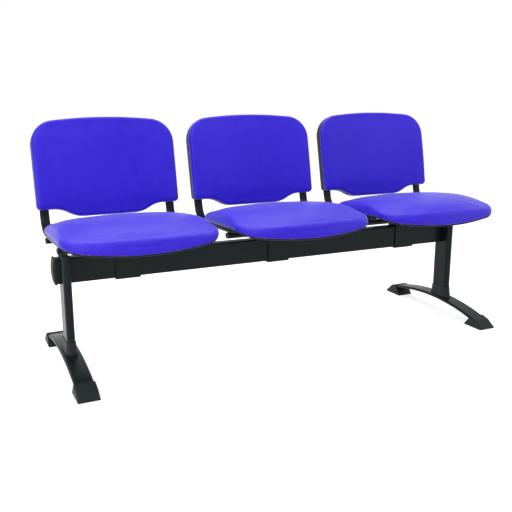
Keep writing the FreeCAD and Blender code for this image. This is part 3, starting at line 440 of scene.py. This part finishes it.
def evened(thing, moved, rounds):
    """Spreads a move over neighbouring points, so that a taut cover shows no wrinkles."""
    ends = np.empty(len(thing.data.edges) * 2, np.int32)
    thing.data.edges.foreach_get("vertices", ends)
    first, second = ends.reshape(-1, 2).T
    near = np.bincount(ends, minlength=len(moved))[:, None]
    for _ in range(rounds):
        total = np.zeros_like(moved)
        np.add.at(total, first, moved[second])
        np.add.at(total, second, moved[first])
        moved = (moved + total / near) / 2
    return moved


def blown_up(thing, held, most):
    """Swells a skin like a tight cover over foam; held is 0 to 1 a point, most the cap."""
    start = points(thing)
    group = thing.vertex_groups.new(name="held")
    for index, share in enumerate(held):
        if share > 0.01:
            group.add([index], float(share), "REPLACE")
    cloth = thing.modifiers.new("cover", "CLOTH")
    settings = cloth.settings
    settings.vertex_group_mass = "held"
    settings.quality = 5
    settings.mass = 0.3
    settings.tension_stiffness = 12
    settings.compression_stiffness = 12
    settings.shear_stiffness = 6
    settings.bending_stiffness = 1.5
    settings.use_pressure = True
    settings.uniform_pressure_force = COVER_PRESSURE
    settings.effector_weights.gravity = 0
    cloth.point_cache.frame_start = 1
    cloth.point_cache.frame_end = COVER_STEPS
    for step in range(1, COVER_STEPS + 1):
        bpy.context.scene.frame_set(step)
    baked(thing)
    bpy.context.scene.frame_set(1)
    moved = evened(thing, points(thing) - start, EVENING_ROUNDS)
    length = np.linalg.norm(moved, axis=1, keepdims=True)
    capped = most * np.tanh(length / most)
    set_points(thing, start + moved * capped / np.maximum(length, 1e-9))
    thing.vertex_groups.clear()
    return thing


def smooth_step(value, low, high):
    share = np.clip((value - low) / (high - low), 0, 1)
    return share * share * (3 - 2 * share)


def lay_cloth(thing, lying, rise_axis, crest):
    """Stores how the cover runs over the cushion: flat on top, unrolled at the sides."""
    spots = in_frame(points(thing), lying)
    ways = normals(thing) @ np.array(lying.inverted())[:3, :3].T
    drop = np.abs(crest - spots[:, rise_axis])
    plane = [axis for axis in range(3) if axis != rise_axis]
    laid = np.zeros_like(spots)
    for column, axis in enumerate(plane):
        laid[:, column] = spots[:, axis] + ways[:, axis] * drop
    kept = thing.data.attributes.new("cloth", "FLOAT_VECTOR", "POINT")
    kept.data.foreach_set("vector", laid.astype(np.float32).ravel())


def finely(thing, levels=1):
    fine = thing.modifiers.new("fine", "SUBSURF")
    fine.levels = fine.render_levels = levels
    return baked(thing)


def settled(pad, node, held):
    """Lays the held points of a skin back on the surface of the solid that it came from."""
    bm = bmesh.new()
    bm.from_mesh(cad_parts[node].data)
    solid = BVHTree.FromBMesh(bm)
    bm.free()
    spots = points(pad)
    for index in np.flatnonzero(held > 0.01):
        on_solid = np.array(solid.find_nearest(Vector(spots[index]))[0])
        spots[index] += (on_solid - spots[index]) * held[index]
    set_points(pad, spots)


def seat_held(pad):
    """1 at the skirt and in the room for the board, 0 on the open top and sides."""
    local = in_frame(points(pad), seat_frame)
    ahead = np.minimum(local[:, 1] + FALL_START, 0)
    bend = FALL_BEND - PAD_LOW + PAD_SKIRT
    skirt = PAD_LOW - FALL_BEND + np.sqrt(np.maximum(bend**2 - ahead**2, 0))
    return 1 - smooth_step(local[:, 2] - skirt, *SEAT_FREE)


def back_held(pad):
    """1 where the back cushion lies against its board, 0 on the open front."""
    local = in_frame(points(pad), back_frame)
    depth = BACK_BEND - np.hypot(local[:, 0], local[:, 1] - BACK_SAG + BACK_BEND)
    return 1 - smooth_step(depth, *BACK_FREE)


def cushion(node, name, held, lying, rise_axis, crest, slack, most):
    """One upholstered cushion: a skin over the solid, drawn in by slack and blown up again."""
    pad = skinned(own_copy(node, name), SKIN_CELL)
    hold = held(pad)
    set_points(pad, points(pad) - normals(pad) * (slack * (1 - hold))[:, None])
    blown_up(pad, hold, most)
    finely(pad)
    settled(pad, node, held(pad))
    for face in pad.data.polygons:
        face.use_smooth = True
    lay_cloth(pad, lying, rise_axis, crest)
    return pad


def seat_pad():
    return cushion(
        "seat_cushion_middle",
        "seat_pad_middle",
        seat_held,
        seat_frame,
        rise_axis=2,
        crest=SEAT_CREST,
        slack=0.003,
        most=0.005,
    )


def back_pad():
    return cushion(
        "back_cushion_middle",
        "back_pad_middle",
        back_held,
        back_frame,
        rise_axis=1,
        crest=BACK_CREST,
        slack=0.0025,
        most=0.004,
    )


def for_each_chair(middle, stem):
    """The finished piece of the middle chair, and its like on the other two."""
    made = {}
    for chair, x in CHAIRS.items():
        if chair == "middle":
            piece = middle
        else:
            piece = bpy.data.objects.new(stem + chair, middle.data.copy())
            bpy.context.scene.collection.objects.link(piece)
            piece.data.transform(Matrix.Translation((x, 0, 0)))
        made[chair] = piece
    return made


def upholster():
    for stem, node, made, fill in (
        ("seat_pad_", "seat_cushion_", seat_pad(), 0.75),
        ("back_pad_", "back_cushion_", back_pad(), 0.7),
    ):
        for chair, piece in for_each_chair(made, stem).items():
            dress(piece, FINISHES["upholstery"])
            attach(piece, "root")
            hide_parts(node + chair)


# Thin pale grey strip between the cover and the shell of each seat; its pale grey is a painted
# highlight on the shell's rim
HIGHLIGHT_STRIP_THICK = 0.0036
HIGHLIGHT_STRIP_OUT = 0.0022
HIGHLIGHT_STRIP_DROP = 0.0012


def rim_loop(node, is_rim):
    """The points, in order, of the closed line of edges of a node that is_rim picks."""
    bm = bmesh.new()
    bm.from_mesh(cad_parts[node].data)
    bmesh.ops.remove_doubles(bm, verts=bm.verts, dist=WELD)
    chosen = [e for e in bm.edges if len(e.link_faces) == 2 and is_rim(e)]
    ways = {}
    for edge in chosen:
        for vert, other in (edge.verts, reversed(edge.verts)):
            ways.setdefault(vert.index, []).append(other)
    first = chosen[0].verts[0]
    line, here, before = [first.co.copy()], first, None
    while len(line) <= len(chosen):
        onward = [v for v in ways[here.index] if v is not before]
        if not onward or onward[0] is first:
            break
        before, here = here, onward[0]
        line.append(here.co.copy())
    bm.free()
    return line


# Builds the thin strip along each seat shell's rim that carries the painted highlight
def seat_rim_highlight_strip():
    turn = np.array(seat_frame.inverted())[:3, :3]

    def is_rim(edge):
        ways = [turn @ np.array(face.normal) for face in edge.link_faces]
        ups = sorted(abs(way[2]) for way in ways)
        rising = max(way[2] for way in ways) > 0.6
        spot = seat_frame.inverted() @ ((edge.verts[0].co + edge.verts[1].co) / 2)
        side = min(ways, key=lambda way: abs(way[2]))
        outward = side[0] * spot.x + side[1] * (spot.y + 0.08) > 0
        return rising and ups[0] < 0.35 and outward

    line = rim_loop("seat_shell_middle", is_rim)
    curve = bpy.data.curves.new("seat_highlight_strip_middle", "CURVE")
    curve.dimensions = "3D"
    spline = curve.splines.new("POLY")
    spline.points.add(len(line) - 1)
    onward = line[1:] + line[:1]
    rising = seat_frame.to_3x3() @ Vector((0, 0, 1))
    middle = sum(line, Vector()) / len(line)
    for point, spot, after in zip(spline.points, line, onward):
        out = (after - spot).cross(rising).normalized()
        if out.dot(spot - middle) < 0:
            out.negate()
        point.co = (*(spot + out * HIGHLIGHT_STRIP_OUT - rising * HIGHLIGHT_STRIP_DROP), 1)
    spline.use_cyclic_u = True
    curve.bevel_depth = HIGHLIGHT_STRIP_THICK / 2
    curve.bevel_resolution = 3
    thing = bpy.data.objects.new("seat_highlight_strip_middle", curve)
    bpy.context.scene.collection.objects.link(thing)
    bpy.context.view_layer.update()
    mesh = bpy.data.meshes.new_from_object(thing)
    bpy.data.objects.remove(thing)
    made = bpy.data.objects.new("seat_highlight_strip_middle", mesh)
    bpy.context.scene.collection.objects.link(made)
    for face in mesh.polygons:
        face.use_smooth = True
    for chair, piece in for_each_chair(made, "seat_highlight_strip_").items():
        dress(piece, rim_highlight_paint)
        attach(piece, "root")


def finish_nodes():
    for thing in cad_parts.values():
        for held in thing.material_slots:
            held.material = FINISHES[held.material.name.split(".")[0]]


# Floor, light and camera
AMBIENT = 0.45
FLOOR_REACH = 30
FLOOR_GLOW = 0.64
LENS = 49.13
SENSOR = 36
EYE = (-1.081188, -2.143899, 0.857756)
EYE_TILT = math.radians(76.67)
EYE_TURN = math.radians(-25.15)
MIDDLE = (0, 0, 0.4)
LEFT_COLUMN = (-0.5, 0, 0.3)
# Name, place, what it points at, width, height and power of each lamp
LAMPS = (
    ("key", (-2.2, -2.2, 3.4), MIDDLE, 2.2, 2.2, 74),
    ("fill", (2.8, -2.2, 2.0), MIDDLE, 2.4, 2.4, 14),
    ("top", (0.3, 1.0, 3.2), MIDDLE, 3.0, 2.0, 68),
    ("side", (-3.2, -1.4, 1.0), LEFT_COLUMN, 1.2, 1.6, 18),
)


def seen_straight(finish):
    """1 where the eye meets a surface straight, in a gloss or through a clear piece."""
    rays = finish.node("ShaderNodeLightPath").sockets()
    return rays["Is Camera Ray"].most(rays["Is Glossy Ray"]).most(rays["Is Transmission Ray"])


def stage_floor():
    bm = bmesh.new()
    bmesh.ops.create_grid(bm, x_segments=1, y_segments=1, size=FLOOR_REACH)
    mesh = bpy.data.meshes.new("floor")
    bm.to_mesh(mesh)
    bm.free()
    floor = bpy.data.objects.new("floor", mesh)
    bpy.context.scene.collection.objects.link(floor)
    f = Finish("pale_floor")
    matte = f.node("ShaderNodeBsdfDiffuse", sockets={"Color": colour(0.80, 0.80, 0.80)})
    glow = f.node(
        "ShaderNodeEmission",
        sockets={"Color": colour(1, 1, 1), "Strength": seen_straight(f) * FLOOR_GLOW},
    )
    both = f.node("ShaderNodeAddShader", sockets={0: matte, 1: glow})
    dress(floor, f.close(both))


def light_world():
    """White where it is seen straight, in a gloss or through a clear piece, softer as light."""
    studio = Finish("studio", bpy.data.worlds)
    bpy.context.scene.world = studio.material
    level = AMBIENT + seen_straight(studio) * (1 - AMBIENT)
    back = studio.node(
        "ShaderNodeBackground", sockets={"Color": colour(1, 1, 1), "Strength": level}
    )
    studio.node("ShaderNodeOutputWorld", sockets={"Surface": back})


def soft_lamp(name, spot, target, wide, tall, power):
    lamp = bpy.data.lights.new(name, "AREA")
    lamp.shape = "RECTANGLE"
    lamp.size, lamp.size_y = wide, tall
    lamp.energy = power
    thing = bpy.data.objects.new(name, lamp)
    bpy.context.scene.collection.objects.link(thing)
    thing.location = spot
    aim = Vector(target) - Vector(spot)
    thing.rotation_euler = aim.to_track_quat("-Z", "Y").to_euler()


def set_camera():
    lens = bpy.data.cameras.new("camera")
    lens.lens = LENS
    lens.sensor_width = SENSOR
    lens.clip_start = 0.05
    lens.clip_end = 100
    camera = bpy.data.objects.new("camera", lens)
    bpy.context.scene.collection.objects.link(camera)
    camera.location = EYE
    camera.rotation_euler = (EYE_TILT, 0, EYE_TURN)
    bpy.context.scene.camera = camera


set_camera()
upholster()
seat_rim_highlight_strip()
finish_nodes()
stage_floor()
light_world()
for lamp_row in LAMPS:
    soft_lamp(*lamp_row)
bpy.context.scene.view_settings.view_transform = "Standard"
